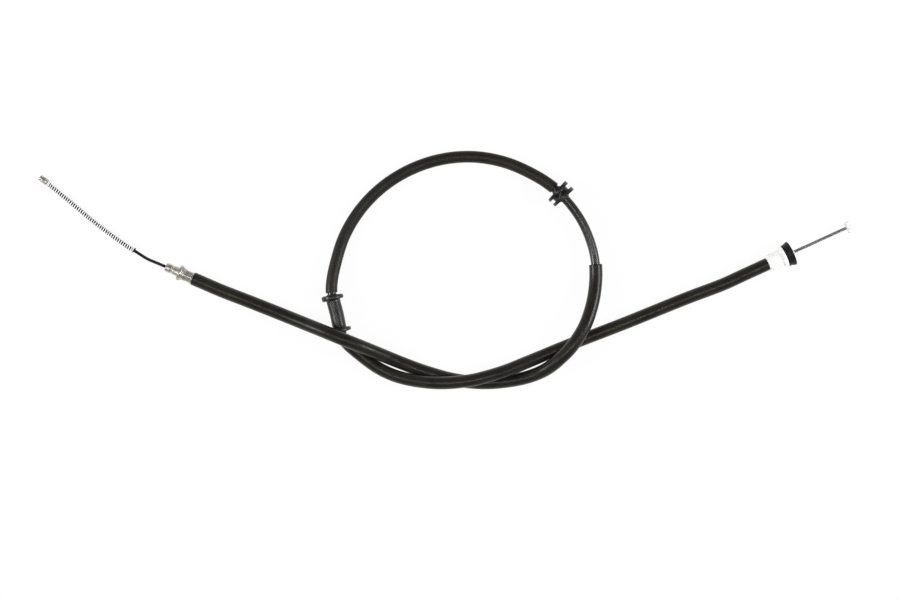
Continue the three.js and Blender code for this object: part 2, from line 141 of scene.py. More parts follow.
@titled
class StrandSizes(bpy.types.PropertyGroup):
    """The inner cable, its return spring and the fittings swaged on its ends."""

    diameter: size(3.15, "Over its six outer strands and their coating")
    lay: size(15.3, "Length of one turn of the outer strands")
    wire_lay: size(5.6, "Length of one turn of the wires in a strand")
    travel_out: size(36, "How far the lever end can be pulled out")
    travel_in: size(18, "How far the lever end can be let back in")
    tail: size(4, "Strand left in its bore at the end of its travel")
    spring_wire: size(1.2, "Diameter of the wire")
    spring_inside: size(3.7, "Inner diameter of the coil")
    spring_pitch: size(2.43, "Between open turns")
    spring_closed_pitch: size(1.45, "Between the dead turns at each end")
    spring_length: size(110)
    nipple: size(6.4, "Lever end fitting")
    nipple_length: size(9)
    nipple_dome: size(1.4, "Rounding of its outer end")
    nipple_socket: size(6, "Depth of the strand's seat")
    barrel: size(6, "Wheel end fitting")
    barrel_length: size(11.5, "Across the strand")
    barrel_reach: size(62.3, "From the seal's face")


@titled
class WheelEndSizes(bpy.types.PropertyGroup):
    """The nylon bush, its seal and the liner, from the seal's face backwards."""

    seal: size(25, "Lip of the rubber seal")
    seal_back: size(21.8, "Diameter of the seal behind its lip")
    seal_length: size(7.5)
    flange: size(22.6, "Flange behind the seal")
    flange_length: size(2.6)
    body: size(17, "Body of the bush")
    body_length: size(13.4)
    taper: size(13.4, "At the sleeve")
    taper_length: size(2.6)
    spigot: size(16, "Carries the seal")
    recess: size(0.6, "Front face behind the seal's face")
    socket: size(14.4, "Seat of the casing")
    casing_bore: size(9.6, "Seat of the casing")
    liner: size(5, "Outside of the liner tube")
    liner_bore: size(3.8, "Inside of the liner tube")
    snout: size(2.6, "How far the liner stands out of the seal")


@titled
class Colours(bpy.types.PropertyGroup):
    """Colours of the finishes."""

    sleeve: colour((0.0110, 0.0098, 0.0072), "Warm black rubber")
    loop_sleeve: colour((0.0098, 0.0088, 0.0067), "Matter black rubber")
    casing: colour((0.0085, 0.0078, 0.0060), "Glossy black plastic")
    grommet: colour((0.0070, 0.0066, 0.0055), "Smooth black rubber")
    seal: colour((0.0050, 0.0050, 0.0048), "Deep black rubber")
    zinc: colour((0.80, 0.775, 0.69), "Warm zinc plating")
    # Painted light: a lighter, less metallic copy of the zinc plating, for the barrel that looks blown out.
    lit_zinc: colour((0.93, 0.925, 0.90), "Fresh zinc plating")
    spring: colour((0.93, 0.93, 0.92), "Bright drawn wire")
    strand: colour((0.0060, 0.0060, 0.0062), "Black coated steel")
    # The bright crowns of the bare strand are a painted highlight, added in steel_strand.
    bare_strand: colour((0.012, 0.012, 0.0115), "Dark steel whose crowns are worn bright")
    nylon: colour((0.93, 0.92, 0.90), "White nylon")
    floor: colour((0.94, 0.94, 0.935), "Plain pale floor")


@titled
class StudioSizes(bpy.types.PropertyGroup):
    """The camera, the lamps and the floor."""

    centre_x: number(0.00355, "Middle of the picture", unit="LENGTH")
    centre_y: number(-0.0298, "Middle of the picture", unit="LENGTH")
    camera_height: number(1.836, "Above the floor", unit="LENGTH")
    lens: number(73.2, "Focal length in millimetres")
    floor_size: number(16.0, "Side of the floor", unit="LENGTH")
    side_power: number(18.0, "Power of each side lamp")
    top_power: number(14.0, "Power of the overhead strip")
    sky: number(0.45, "Even light from the surroundings")
    floor_glow: number(0.94, "How far the floor is seen as plain white")


class CableSettings(bpy.types.PropertyGroup):
    """All sizes and colours of the cable."""

    casing: PointerProperty(type=CasingSizes)
    grommets: PointerProperty(type=GrommetSizes)
    ferrule: PointerProperty(type=FerruleSizes)
    strand: PointerProperty(type=StrandSizes)
    wheel_end: PointerProperty(type=WheelEndSizes)
    colours: PointerProperty(type=Colours)
    studio: PointerProperty(type=StudioSizes)


def settings():
    return bpy.context.scene.brake_cable


# Axes of the two ends, as in the frame
def heading(degrees):
    angle = math.radians(degrees)
    return Vector((math.cos(angle), math.sin(angle), 0))


LEVER_INWARD = heading(-23.3)
WHEEL_OUTWARD = heading(24.6)
LEVER_NOSE = Vector((-0.2802, 0.0033, 0.0078))
SEAL_FACE = Vector((0.3439, 0.017, 0.0125))


def on_lever_axis(distance):
    return LEVER_NOSE + LEVER_INWARD * distance


def on_wheel_axis(distance):
    return SEAL_FACE + WHEEL_OUTWARD * distance


def casing_start():
    """Where the casing begins in the ferrule, from the ferrule's nose."""
    f = settings().ferrule
    front = f.nose_length + f.groove_length + f.neck_length
    return front + f.collar_length + f.ring_length + settings().casing.seat_gap


def ferrule_length():
    return casing_start() - settings().casing.seat_gap + settings().ferrule.barrel_length


def bush_back():
    w = settings().wheel_end
    return w.seal_length + w.flange_length + w.body_length + w.taper_length


def casing_end():
    return bush_back() - settings().wheel_end.socket + settings().casing.seat_gap


def in_metres(points):
    """Points of a route that is written in millimetres."""
    return [Vector([c * MM for c in point]) for point in points]


def casing_points():
    """The casing's route, from the ferrule to the bush, as the frame has it."""
    points = [on_lever_axis(casing_start()), on_lever_axis(0.040), on_lever_axis(0.060)]
    points += in_metres(CASING_ROUTE)
    points += [on_wheel_axis(-0.075), on_wheel_axis(-0.055), on_wheel_axis(-0.035)]
    return points + [on_wheel_axis(-casing_end())]


def lever_points():
    """The route of the strand at the lever end, from the nipple to its tail in the ferrule."""
    s = settings().strand
    points = in_metres(LEVER_ROUTE)
    points += [on_lever_axis(-0.020), on_lever_axis(-0.008), on_lever_axis(0)]
    return points + [on_lever_axis(s.travel_out + s.tail)]


def wheel_points():
    s = settings().strand
    return [on_wheel_axis(-s.travel_in - s.tail), on_wheel_axis(0), on_wheel_axis(s.barrel_reach)]


CASING_ROUTE = [
    (-194.5, -32.3, 7.2), (-166.5, -43.3, 9.6), (-138.5, -54.2, 18), (-118, -62.1, 25.8),
    (-104, -67.8, 28.6), (-91, -73.1, 26.4), (-71, -81.6, 17.4), (-47, -91.8, 9.4),
    (-22.6, -101, 6.9), (8.2, -109.5, 6.6), (39.6, -112.5, 6.6), (73.9, -108.6, 7.2),
    (91.6, -102.9, 9.4), (102.8, -96.6, 14), (113.4, -87.6, 17.7), (124.6, -75.8, 19.9),
    (137.2, -56.2, 18.6), (145.3, -33.5, 14.6), (148.9, -9.8, 11.4), (148.2, 10, 10.6),
    (143.2, 29.9, 11), (134, 50, 12), (121.1, 67.8, 12.8), (106.8, 82, 12.8),
    (89, 94, 11.5), (59.9, 107.3, 7.8), (28.3, 113.3, 6), (-3.9, 111.1, 5.9),
    (-34.5, 101.3, 5.9), (-62.1, 84.7, 5.9), (-85, 62.1, 5.9), (-101.8, 34.7, 6.1),
    (-111.4, 3.9, 8.6), (-114.2, -11.5, 10.4), (-114.5, -22.3, 11), (-109.5, -43.3, 11),
    (-104.5, -64.3, 11), (-99.5, -72.5, 10.6), (-88.2, -82.7, 9.8), (-65.5, -99, 10.2),
    (-42.9, -107.8, 12.4), (-8.5, -112.1, 19.4), (22.6, -109.8, 20.4), (41, -105.6, 19.4),
    (59.6, -99.9, 16.2), (77.9, -92.8, 11.4), (95.9, -85.6, 7.8), (126, -73.3, 6.4),
    (180.3, -52.2, 6.6), (239.6, -28.1, 8.6),
]

LEVER_ROUTE = [
    (-407, 93, 3.4), (-399.6, 87.4, 3.4), (-375.8, 67.9, 3.6), (-350.1, 46.6, 4.2),
    (-324.6, 27.9, 5.4), (-308.6, 17.3, 6.6),
]


def centripetal(points, per_span=24):
    """Points along the centripetal Catmull-Rom curve through the given points."""
    ends = [points[0] * 2 - points[1], *points, points[-1] * 2 - points[-2]]
    line = []
    for a, b, c, d in zip(ends, ends[1:], ends[2:], ends[3:]):
        before, here, after = ((q - p).length ** 0.5 for p, q in ((a, b), (b, c), (c, d)))
        leave = ((b - a) / before - (c - a) / (before + here) + (c - b) / here) * here
        enter = ((c - b) / here - (d - b) / (here + after) + (d - c) / after) * here
        for i in range(per_span):
            t = i / per_span
            cubic = (b - c) * 2 + leave + enter
            square = (c - b) * 3 - leave * 2 - enter
            line.append(b + leave * t + square * t * t + cubic * t ** 3)
    return line + [points[-1]]


def evenly(line, step):
    """The same line with points an even distance apart, and its length."""
    along = [0.0]
    for a, b in zip(line, line[1:]):
        along.append(along[-1] + (b - a).length)
    count = max(2, math.ceil(along[-1] / step))
    points, i = [], 0
    for k in range(count + 1):
        distance = along[-1] * k / count
        while i < len(line) - 2 and along[i + 1] < distance:
            i += 1
        share = (distance - along[i]) / (along[i + 1] - along[i])
        points.append(line[i].lerp(line[i + 1], share))
    return points, along[-1]


class Route:
    """A smooth line in the frame, which pieces modelled straight along X are laid on."""

    def __init__(self, points, step=0.0015):
        self.points, self.length = evenly(centripetal(points), step)
        self.step = self.length / (len(self.points) - 1)

    def at(self, distance):
        """The point that far along the line."""
        place = distance / self.step
        i = min(int(place), len(self.points) - 2)
        return self.points[i].lerp(self.points[i + 1], place - i)

    def curve(self):
        """A curve object along the route, for a Curve modifier."""
        data = bpy.data.curves.new("route", "CURVE")
        data.dimensions = "3D"
        data.twist_mode = "Z_UP"
        spline = data.splines.new("POLY")
        spline.points.add(len(self.points) - 1)
        for place, point in zip(spline.points, self.points):
            place.co = (*point, 1)
        curve = bpy.data.objects.new("route", data)
        bpy.context.scene.collection.objects.link(curve)
        return curve


# Outlines, as (distance along the axis, radius) pairs
def rounded(corners, segments=4):
    """An outline whose corners, given as (distance, radius, rounding), are turned into arcs."""
    outline = []
    last = len(corners) - 1
    for i, corner in enumerate(corners):
        here = Vector(corner[:2])
        rounding = corner[2]
        if rounding == 0 or i in (0, last):
            outline.append(here)
            continue
        back = Vector(corners[i - 1][:2]) - here
        ahead = Vector(corners[i + 1][:2]) - here
        turn = math.pi - back.angle(ahead)
        reach = min(rounding * math.tan(turn / 2), back.length * 0.49, ahead.length * 0.49)
        start, end = here + back.normalized() * reach, here + ahead.normalized() * reach
        radius = reach / math.tan(turn / 2)
        inward = ((start + end) / 2 - here).normalized()
        centre = here + inward * math.hypot(reach, radius)
        swing = (start - centre).angle_signed(end - centre)
        for k in range(segments + 1):
            spoke = (start - centre).to_3d()
            spoke.rotate(Quaternion(UP, -swing * k / segments))
            outline.append(centre + spoke.to_2d())
    return outline


def stations(start, end, step):
    """Distances from start to end, that step apart at most."""
    count = max(1, math.ceil(abs(end - start) / step))
    return [start + (end - start) * i / count for i in range(count + 1)]


def select(*pieces):
    """Selects these and nothing else, and makes the first one active."""
    bpy.ops.object.select_all(action="DESELECT")
    for piece in pieces:
        piece.select_set(True)
    if pieces:
        bpy.context.view_layer.objects.active = pieces[0]


def new_outline(name, outline):
    """An open outline in edit mode, drawn by extruding one point along it."""
    select()
    bpy.ops.mesh.primitive_plane_add(size=MM, location=(0, 0, 0))
    piece = bpy.context.object
    piece.name = piece.data.name = name
    bpy.ops.object.mode_set(mode="EDIT")
    bpy.ops.mesh.select_all(action="SELECT")
    bpy.ops.mesh.merge(type="CENTER")
    bpy.ops.transform.translate(value=(outline[0][0], 0, outline[0][1]))
    for here, there in zip(outline, outline[1:]):
        move = (there[0] - here[0], 0, there[1] - here[1])
        bpy.ops.mesh.extrude_vertices_move(TRANSFORM_OT_translate={"value": move})
    return piece


def turned(name, outline, sides=64):
    """A piece turned round the X axis from a closed outline, or from one that ends on the axis."""
    piece = new_outline(name, outline)
    bpy.ops.mesh.select_all(action="SELECT")
    bpy.ops.mesh.spin(steps=sides, angle=math.tau, center=(0, 0, 0), axis=(1, 0, 0))
    bpy.ops.mesh.select_all(action="SELECT")
    bpy.ops.mesh.remove_doubles(threshold=1e-6)
    bpy.ops.mesh.normals_make_consistent(inside=False)
    bpy.ops.object.mode_set(mode="OBJECT")
    return piece


def smooth(piece, degrees=35):
    select(piece)
    bpy.ops.object.shade_smooth_by_angle(angle=math.radians(degrees))


def keep_straight_places(piece):
    """Stores where each point lies before the piece is bent, for patterns that follow its surface."""
    straight = piece.data.attributes.new("straight", "FLOAT_VECTOR", "POINT")
    for place, vertex in zip(straight.data, piece.data.vertices):
        place.vector = vertex.co


def lay_on(piece, route):
    """Bends a piece that was modelled straight along X on to a route."""
    keep_straight_places(piece)
    curve = route.curve()
    modifier = piece.modifiers.new("lay on route", "CURVE")
    modifier.object = curve
    modifier.deform_axis = "POS_X"
    select(piece)
    bpy.ops.object.modifier_apply(modifier=modifier.name)
    data = curve.data
    bpy.data.objects.remove(curve)
    bpy.data.curves.remove(data)


def place_on_axis(piece, origin, direction):
    """Turns a piece from the X axis on to an axis of the frame, in its mesh."""
    keep_straight_places(piece)
    side = UP.cross(direction).normalized()
    turn = Matrix((direction, side, direction.cross(side))).transposed().to_4x4()
    piece.data.transform(Matrix.Translation(origin) @ turn)


def settle(piece, body, slot, material, *nodes):
    """Gives a finished piece its material and hands it over to its body; the slot argument is not used."""
    piece.data.materials.clear()
    piece.data.materials.append(material)
    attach(piece, body)
    if nodes:
        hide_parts(*nodes)


# Finishes
class Nodes:
    """A node tree that is being built."""

    def __init__(self, tree):
        self.tree = tree

    def node(self, kind, inputs=(), **values):
        """A node with its settings. Each input takes a value, or the output of another node."""
        made = self.tree.nodes.new(kind)
        for name, value in values.items():
            setattr(made, name, value)
        for name, value in dict(inputs).items():
            self.feed(made, name, value)
        return made

    def feed(self, node, name, value):
        if isinstance(value, bpy.types.NodeSocket):
            self.tree.links.new(value, node.inputs[name])
        else:
            node.inputs[name].default_value = value

    def ranged(self, pattern, low, high, from_low=0.3, from_high=0.7, **values):
        """A pattern brought from one range to another."""
        return self.node("ShaderNodeMapRange", {
            "Value": pattern,
            "From Min": from_low,
            "From Max": from_high,
            "To Min": low,
            "To Max": high,
        }, **values).outputs[0]

    def whiteness(self, share):
        """That share where the camera or a reflection sees it, and none for the light that it gives."""
        rays = self.node("ShaderNodeLightPath").outputs
        seen = rays["Is Camera Ray"]
        for kind in ("Is Glossy Ray", "Is Transmission Ray"):
            seen = self.node("ShaderNodeMath", {0: seen, 1: rays[kind]}, operation="MAXIMUM").outputs[0]
        return self.node("ShaderNodeMath", {0: seen, 1: share}, operation="MULTIPLY").outputs[0]


class Finish(Nodes):
    """A material and the nodes that its pattern is made of."""

    def __init__(self, name, **constants):
        self.material = bpy.data.materials.get(name) or bpy.data.materials.new(name)
        self.material.use_nodes = True
        super().__init__(self.material.node_tree)
        self.tree.nodes.clear()
        self.shader = self.node("ShaderNodeBsdfPrincipled")
        self.output = self.node("ShaderNodeOutputMaterial", {"Surface": self.shader.outputs["BSDF"]})
        self.raised = None
        for socket, value in constants.items():
            self.feed(self.shader, socket.replace("_", " "), value)

    def straight(self, along, across):
        """Places on the piece as it was before it was bent, scaled along its axis and across."""
        before = self.node("ShaderNodeAttribute", attribute_name="straight").outputs["Vector"]
        mapping = self.node("ShaderNodeMapping", {"Vector": before, "Scale": (along, across, across)})
        return mapping.outputs["Vector"]

    def noise(self, along, across=None, detail=3):
        """Noise with about that many spots to the metre, along the piece and across it."""
        return self.node("ShaderNodeTexNoise", {
            "Vector": self.straight(along, across or along),
            "Scale": 1,
            "Detail": detail,
            "Roughness": 0.55,
        }).outputs[0]

    def off_axis(self):
        """How far a place lay from the X axis before its piece was bent."""
        distance = self.node("ShaderNodeVectorMath", {0: self.straight(0, 1)}, operation="LENGTH")
        return distance.outputs["Value"]

    def tint(self, pattern, rgb, low, high, *span):
        """Darkens and lightens a colour by a pattern, from one factor to another."""
        mix = self.node("ShaderNodeMix", {
            "Factor": self.ranged(pattern, 0, 1, *span),
            "A": (*(min(1, c * low) for c in rgb), 1),
            "B": (*(min(1, c * high) for c in rgb), 1),
        }, data_type="RGBA")
        self.feed(self.shader, "Base Color", mix.outputs["Result"])

    def rough(self, pattern, low, high):
        self.feed(self.shader, "Roughness", self.ranged(pattern, low, high))

    def bump(self, pattern, distance, strength):
        """Raises a pattern, on top of what was raised before."""
        bump = self.node("ShaderNodeBump", {"Distance": distance, "Strength": strength, "Height": pattern})
        if self.raised:
            self.feed(bump, "Normal", self.raised)
        self.raised = bump.outputs["Normal"]
        self.feed(self.shader, "Normal", self.raised)


def rubber(name, rgb, rough_low, rough_high, grain=0.00004, scuffs=1.0, gloss=0.30):
    """Extruded or moulded rubber: fine grain, long faint scuffs and a dusty bloom."""
    finish = Finish(name, Specular_IOR_Level=gloss)
    finish.tint(finish.noise(60, detail=4), rgb, 0.8, 1.0 + 0.8 * scuffs)
    finish.rough(finish.noise(90, 900, detail=5), rough_low, rough_high)
    finish.bump(finish.noise(140, 420), 0.00012, 0.3 * scuffs)
    finish.bump(finish.noise(2200, detail=2), grain, 0.6)
    return finish.material


def casing_plastic(rgb):
    """Extruded plastic with a soft gloss."""
    finish = Finish("casing plastic", Specular_IOR_Level=0.75)
    finish.tint(finish.noise(150, detail=4), rgb, 0.8, 1.5)
    finish.rough(finish.noise(120, 1200, detail=4), 0.26, 0.34)
    return finish.material


def plated_steel(name, rgb, metallic, stained):
    """Zinc plated steel: turning marks, dull patches and a warm stain."""
    finish = Finish(name, Metallic=metallic)
    finish.tint(finish.noise(260, detail=5), rgb, stained, 1)
    finish.rough(finish.noise(420, detail=4), 0.22, 0.46)
    finish.bump(finish.noise(5200, 120), 0.00003, 0.45)
    finish.bump(finish.noise(520, detail=2), 0.00012, 0.5)
    return finish.material


def spring_steel(rgb, coil_radius):
    """Bright drawn spring wire, with painted shade darkening the inside of its coil."""
    finish = Finish("spring steel", Metallic=0.3)
    # Painted shade: the colour falls almost to black towards the inside of the coil, where the turns shade each
    # other.
    painted_shade_radius, full_colour_radius = coil_radius - 0.1 * MM, coil_radius + 0.3 * MM
    finish.tint(finish.off_axis(), rgb, 0.015, 1, painted_shade_radius, full_colour_radius)
    drawn = finish.noise(900, 2400)
    finish.rough(drawn, 0.20, 0.34)
    finish.bump(drawn, 0.00001, 0.3)
    return finish.material


def steel_strand(name, rgb, gloss, rough_low, rough_high, crown=None):
    """Oiled steel wire. Given the radius of its crowns, a painted highlight lightens them."""
    finish = Finish(name, Specular_IOR_Level=gloss)
    oil = finish.noise(400, detail=4)
    if crown:
        # Painted highlight: towards the crowns of the outer wires the colour grows forty times lighter.
        finish.tint(finish.off_axis(), rgb, 0.5, 40, crown * 0.86, crown)
    else:
        finish.tint(oil, rgb, 0.6, 1.7)
    finish.rough(oil, rough_low, rough_high)
    finish.bump(finish.noise(2500, detail=2), 0.00001, 0.4)
    return finish.material


def nylon(name, rgb):
    """Moulded white nylon, slightly see-through at its edges."""
    finish = Finish(name, Subsurface_Weight=0.12, Subsurface_Scale=0.002)
    cloud = finish.noise(120)
    finish.tint(cloud, rgb, 0.96, 1)
    finish.rough(cloud, 0.38, 0.52)
    finish.bump(finish.noise(1800, detail=2), 0.00002, 0.4)
    return finish.material


# Strands and springs
def lobed(count, samples):
    """Radius of a bundle of touching round wires, from 0 to 1, at evenly spaced angles."""
    radii = []
    for i in range(count * samples):
        away = math.radians(360 / count) * ((i % samples) / samples - 0.5)
        radii.append((math.cos(away) + math.sqrt(0.25 - math.sin(away) ** 2)) / 1.5)
    return radii


def rope(name, length, diameter, lay, wire_lay, step=0.0005, strands=6, wires=6, samples=4):
    """Six strands laid round a core along X, each of six wires laid the other way, as one mesh."""
    mesh = bmesh.new()
    radii = lobed(wires, samples)
    strand_radius = diameter / 6
    count = math.ceil(length / step)
    for strand in range(strands):
        rings = []
        for i in range(count + 1):
            x = length * i / count
            angle = math.tau * (x / lay + strand / strands)
            out = Vector((0, math.cos(angle), math.sin(angle)))
            along = Vector((lay, 0, 0))
            along += Vector((1, 0, 0)).cross(out) * (math.tau * 2 * strand_radius)
            over = along.normalized().cross(out)
            centre = Vector((x, 0, 0)) + out * 2 * strand_radius
            turn = -math.tau * x / wire_lay - angle
            ring = []
            for k, radius in enumerate(radii):
                around = turn + math.tau * k / len(radii)
                spoke = (out * math.cos(around) + over * math.sin(around)) * radius * strand_radius
                ring.append(mesh.verts.new(centre + spoke))
            rings.append(ring)
        loft(mesh, rings)
    core_radius, core_sides, core_step = strand_radius * 0.98, 8, 0.004
    rings = []
    for x in stations(0, length, core_step):
        spokes = (math.tau * k / core_sides for k in range(core_sides))
        rings.append([mesh.verts.new((x, core_radius * math.cos(a), core_radius * math.sin(a))) for a in spokes])
    loft(mesh, rings)
    return from_bmesh(name, mesh)


def loft(mesh, rings):
    """Joins rings of points to a tube with closed ends."""
    for ring, following in zip(rings, rings[1:]):
        for k in range(len(ring)):
            j = (k + 1) % len(ring)
            mesh.faces.new((ring[k], ring[j], following[j], following[k]))
    mesh.faces.new(list(reversed(rings[0])))
    mesh.faces.new(rings[-1])


def from_bmesh(name, mesh):
    bmesh.ops.recalc_face_normals(mesh, faces=mesh.faces)
    data = bpy.data.meshes.new(name)
    mesh.to_mesh(data)
    mesh.free()
    piece = bpy.data.objects.new(name, data)
    bpy.context.scene.collection.objects.link(piece)
    return piece


def coil(name, radius, wire, parts, sides=10, steps=24):
    """A round wire coiled along X. Each part is (turns, pitch), and they follow each other."""
    coils, x, turned_by = [], 0.0, 0.0
    for turns, pitch in parts:
        select()
        bpy.ops.mesh.primitive_circle_add(vertices=sides, radius=wire / 2, location=(0, radius, 0))
        piece = bpy.context.object
        bpy.ops.object.transform_apply(location=True, rotation=True, scale=True)
        piece.data.transform(Matrix.Translation((x, 0, 0)) @ Matrix.Rotation(turned_by, 4, "X"))
        modifier = piece.modifiers.new("turns", "SCREW")
        modifier.axis = "X"
        modifier.angle = math.tau * turns
        modifier.screw_offset = pitch * turns
        modifier.steps = modifier.render_steps = round(steps * turns)
        bpy.ops.object.modifier_apply(modifier=modifier.name)
        coils.append(piece)
        x += pitch * turns
        turned_by += math.tau * turns
    select(*coils)
    bpy.ops.object.join()
    spring = bpy.context.object
    spring.name = spring.data.name = name
    bpy.ops.object.mode_set(mode="EDIT")
    bpy.ops.mesh.select_all(action="SELECT")
    bpy.ops.mesh.remove_doubles(threshold=2e-5)
    bpy.ops.mesh.fill_holes(sides=0)
    bpy.ops.mesh.select_all(action="SELECT")
    bpy.ops.mesh.normals_make_consistent(inside=False)
    bpy.ops.object.mode_set(mode="OBJECT")
    return spring


def casing_layout():
    """Where the sleeves and the grommets begin and end, along the casing."""
    c, g = settings().casing, settings().grommets
    route = Route(casing_points())
    lever = ferrule_length() + c.seat_gap - casing_start()
    short = lever + c.lever_sleeve_length + c.bare_length
    short_end = short + 2 * g.short_flange_length + g.short_core_length + 2 * g.short_hub_length
    loop = short_end + c.end_gap
    long = loop + c.loop_sleeve_length + c.end_gap
    necks = g.long_first_neck + g.long_second_neck
    long_end = long + necks + 2 * g.long_flange_length + g.long_tube_length
    return {
        "route": route,
        "lever_sleeve": (lever, lever + c.lever_sleeve_length),
        "short_grommet": (short, short_end),
        "loop_sleeve": (loop, loop + c.loop_sleeve_length),
        "long_grommet": (long, long_end),
        "wheel_sleeve": (long_end + c.end_gap, route.length - (bush_back() - casing_end()) - c.seat_gap),
    }


def hose_outline(start, end, outside, inside, edge=0.0004, step=0.003):
    """A tube with slightly rounded cut ends, with points along its outside and its bore."""
    outline = rounded([(start, inside, 0), (start, outside, edge), (start + 4 * edge, outside, 0)])
    outline += [Vector((x, outside)) for x in stations(start + 4 * edge, end - 4 * edge, step)[1:-1]]
    outline += rounded([(end - 4 * edge, outside, 0), (end, outside, edge), (end, inside, 0)])
    outline += [Vector((x, inside)) for x in stations(end, start, 4 * step)[1:]]
    return outline


class CABLE_OT_stage(bpy.types.Operator):
    """Floor, surroundings, lamps and the camera straight above the cable"""

    bl_idname = "cable.stage"
    bl_label = "Stage"

    def execute(self, context):
        s = settings().studio
        self.add_camera(s)
        self.add_floor(s)
        self.add_surroundings(s)
        self.add_lamps(s)
        return {"FINISHED"}

    def add_camera(self, s):
        data = bpy.data.cameras.new("camera")
        data.lens = s.lens
        data.sensor_width = 36
        camera = bpy.data.objects.new("camera", data)
        camera.location = (s.centre_x, s.centre_y, s.camera_height)
        bpy.context.scene.collection.objects.link(camera)
        bpy.context.scene.camera = camera

    def add_floor(self, s):
        select()
        bpy.ops.mesh.primitive_plane_add(size=s.floor_size, location=(0, 0, 0))
        floor = bpy.context.object
        floor.name = floor.data.name = "floor"
        rgb = (*settings().colours.floor, 1)
        finish = Finish("floor", Base_Color=rgb, Roughness=0.9, Specular_IOR_Level=0.0)
        mix = finish.node("ShaderNodeMixShader", {
            "Fac": finish.whiteness(s.floor_glow),
            1: finish.shader.outputs["BSDF"],
            2: finish.node("ShaderNodeEmission").outputs["Emission"],
        })
        finish.feed(finish.output, "Surface", mix.outputs["Shader"])
        floor.data.materials.append(finish.material)

    def add_surroundings(self, s):
        """White where they are seen, and a light that grows weaker overhead."""
        world = bpy.data.worlds.new("surroundings")
        bpy.context.scene.world = world
        world.use_nodes = True
        sky = Nodes(world.node_tree)
        background = sky.tree.nodes["Background"]
        direction = sky.node("ShaderNodeTexCoord").outputs["Generated"]
        height = sky.node("ShaderNodeSeparateXYZ", {0: direction}).outputs["Z"]
        beside, above = 0.22, 0.06
        overhead = sky.ranged(height, beside, above, 0.55, 0.90, interpolation_type="SMOOTHSTEP")
        strength = sky.node("ShaderNodeMix", {"Factor": sky.whiteness(1.0), "A": s.sky, "B": overhead})
        sky.feed(background, "Color", (1, 1, 1, 1))
        sky.feed(background, "Strength", strength.outputs["Result"])

    def add_lamps(self, s):
        aside, height, shape = 1.6, 1.0, (0.45, 0.8)
        for name, x in (("lamp_left", -aside), ("lamp_right", aside)):
            add_lamp(name, (x, s.centre_y, height), shape, s.side_power)
        strip_aside, strip_height, strip = 0.32, 2.3, (2.4, 0.14)
        add_lamp("lamp_top", (0, s.centre_y - strip_aside, strip_height), strip, s.top_power)


def add_lamp(name, place, shape, power):
    data = bpy.data.lights.new(name, "AREA")
    data.shape = "RECTANGLE"
    data.size, data.size_y = shape
    data.energy = power
    lamp = bpy.data.objects.new(name, data)
    lamp.location = place
    lamp.rotation_euler = (Vector((0, place[1], 0)) - Vector(place)).to_track_quat("-Z", "Y").to_euler()
    bpy.context.scene.collection.objects.link(lamp)


class CABLE_OT_casing(bpy.types.Operator):
    """The plastic casing, with the spiral under it showing where it is bare"""

    bl_idname = "cable.casing"
    bl_label = "Casing"

    def execute(self, context):
        c = settings().casing
        layout = casing_layout()
        route = layout["route"]
        bare = (layout["lever_sleeve"][1] - RIB_FADE, layout["short_grommet"][0] + RIB_FADE)
        outer = stations(0, bare[0], 0.006) + stations(*bare, c.rib_pitch / 5)[1:]
        outer += stations(bare[1], route.length, 0.006)[1:]
        outline = [(x, c.diameter / 2) for x in outer]
        outline += [(x, c.bore / 2) for x in stations(route.length, 0, 0.012)]
        piece = turned("casing_tube", outline + [outline[0]], 40)
        self.raise_ribs(piece, bare, c)
        lay_on(piece, route)
        smooth(piece)
        plastic = casing_plastic(settings().colours.casing)
        settle(piece, "casing_assembly", "casing_plastic", plastic, "casing")
        return {"FINISHED"}

    def raise_ribs(self, piece, bare, c):
        """Lifts the surface in a spiral, fading out under the sleeve and the grommet."""
        for vertex in piece.data.vertices:
            x, y, z = vertex.co
            radius = math.hypot(y, z)
            if radius < c.diameter / 2 - 1e-4 or not bare[0] < x < bare[1]:
                continue
            fade = min(1, (x - bare[0]) / RIB_FADE, (bare[1] - x) / RIB_FADE)
            wave = math.cos(math.tau * x / c.rib_pitch - math.atan2(z, y))
            reach = (radius + c.rib_height * fade * (wave - 1) / 2) / radius
            vertex.co = (x, y * reach, z * reach)


class CABLE_OT_sleeves(bpy.types.Operator):
    """The three rubber sleeves over the casing"""

    bl_idname = "cable.sleeves"
    bl_label = "Sleeves"

    def execute(self, context):
        c, rgb = settings().casing, settings().colours
        layout = casing_layout()
        outer = rubber("sleeve rubber", rgb.sleeve, 0.24, 0.38)
        loop = rubber("loop sleeve rubber", rgb.loop_sleeve, 0.40, 0.54)
        for name, place, diameter, material in (
            ("lever_side", "lever_sleeve", c.lever_sleeve, outer),
            ("loop", "loop_sleeve", c.loop_sleeve, loop),
            ("wheel_side", "wheel_sleeve", c.wheel_sleeve, outer),
        ):
            start, end = layout[place]
            outline = hose_outline(start, end, diameter / 2, c.sleeve_bore / 2)
            piece = turned(name + "_sleeve", outline, 44)
            lay_on(piece, layout["route"])
            smooth(piece)
            settle(piece, "casing_assembly", "sleeve_rubber", material, "sleeve_" + name)
        return {"FINISHED"}


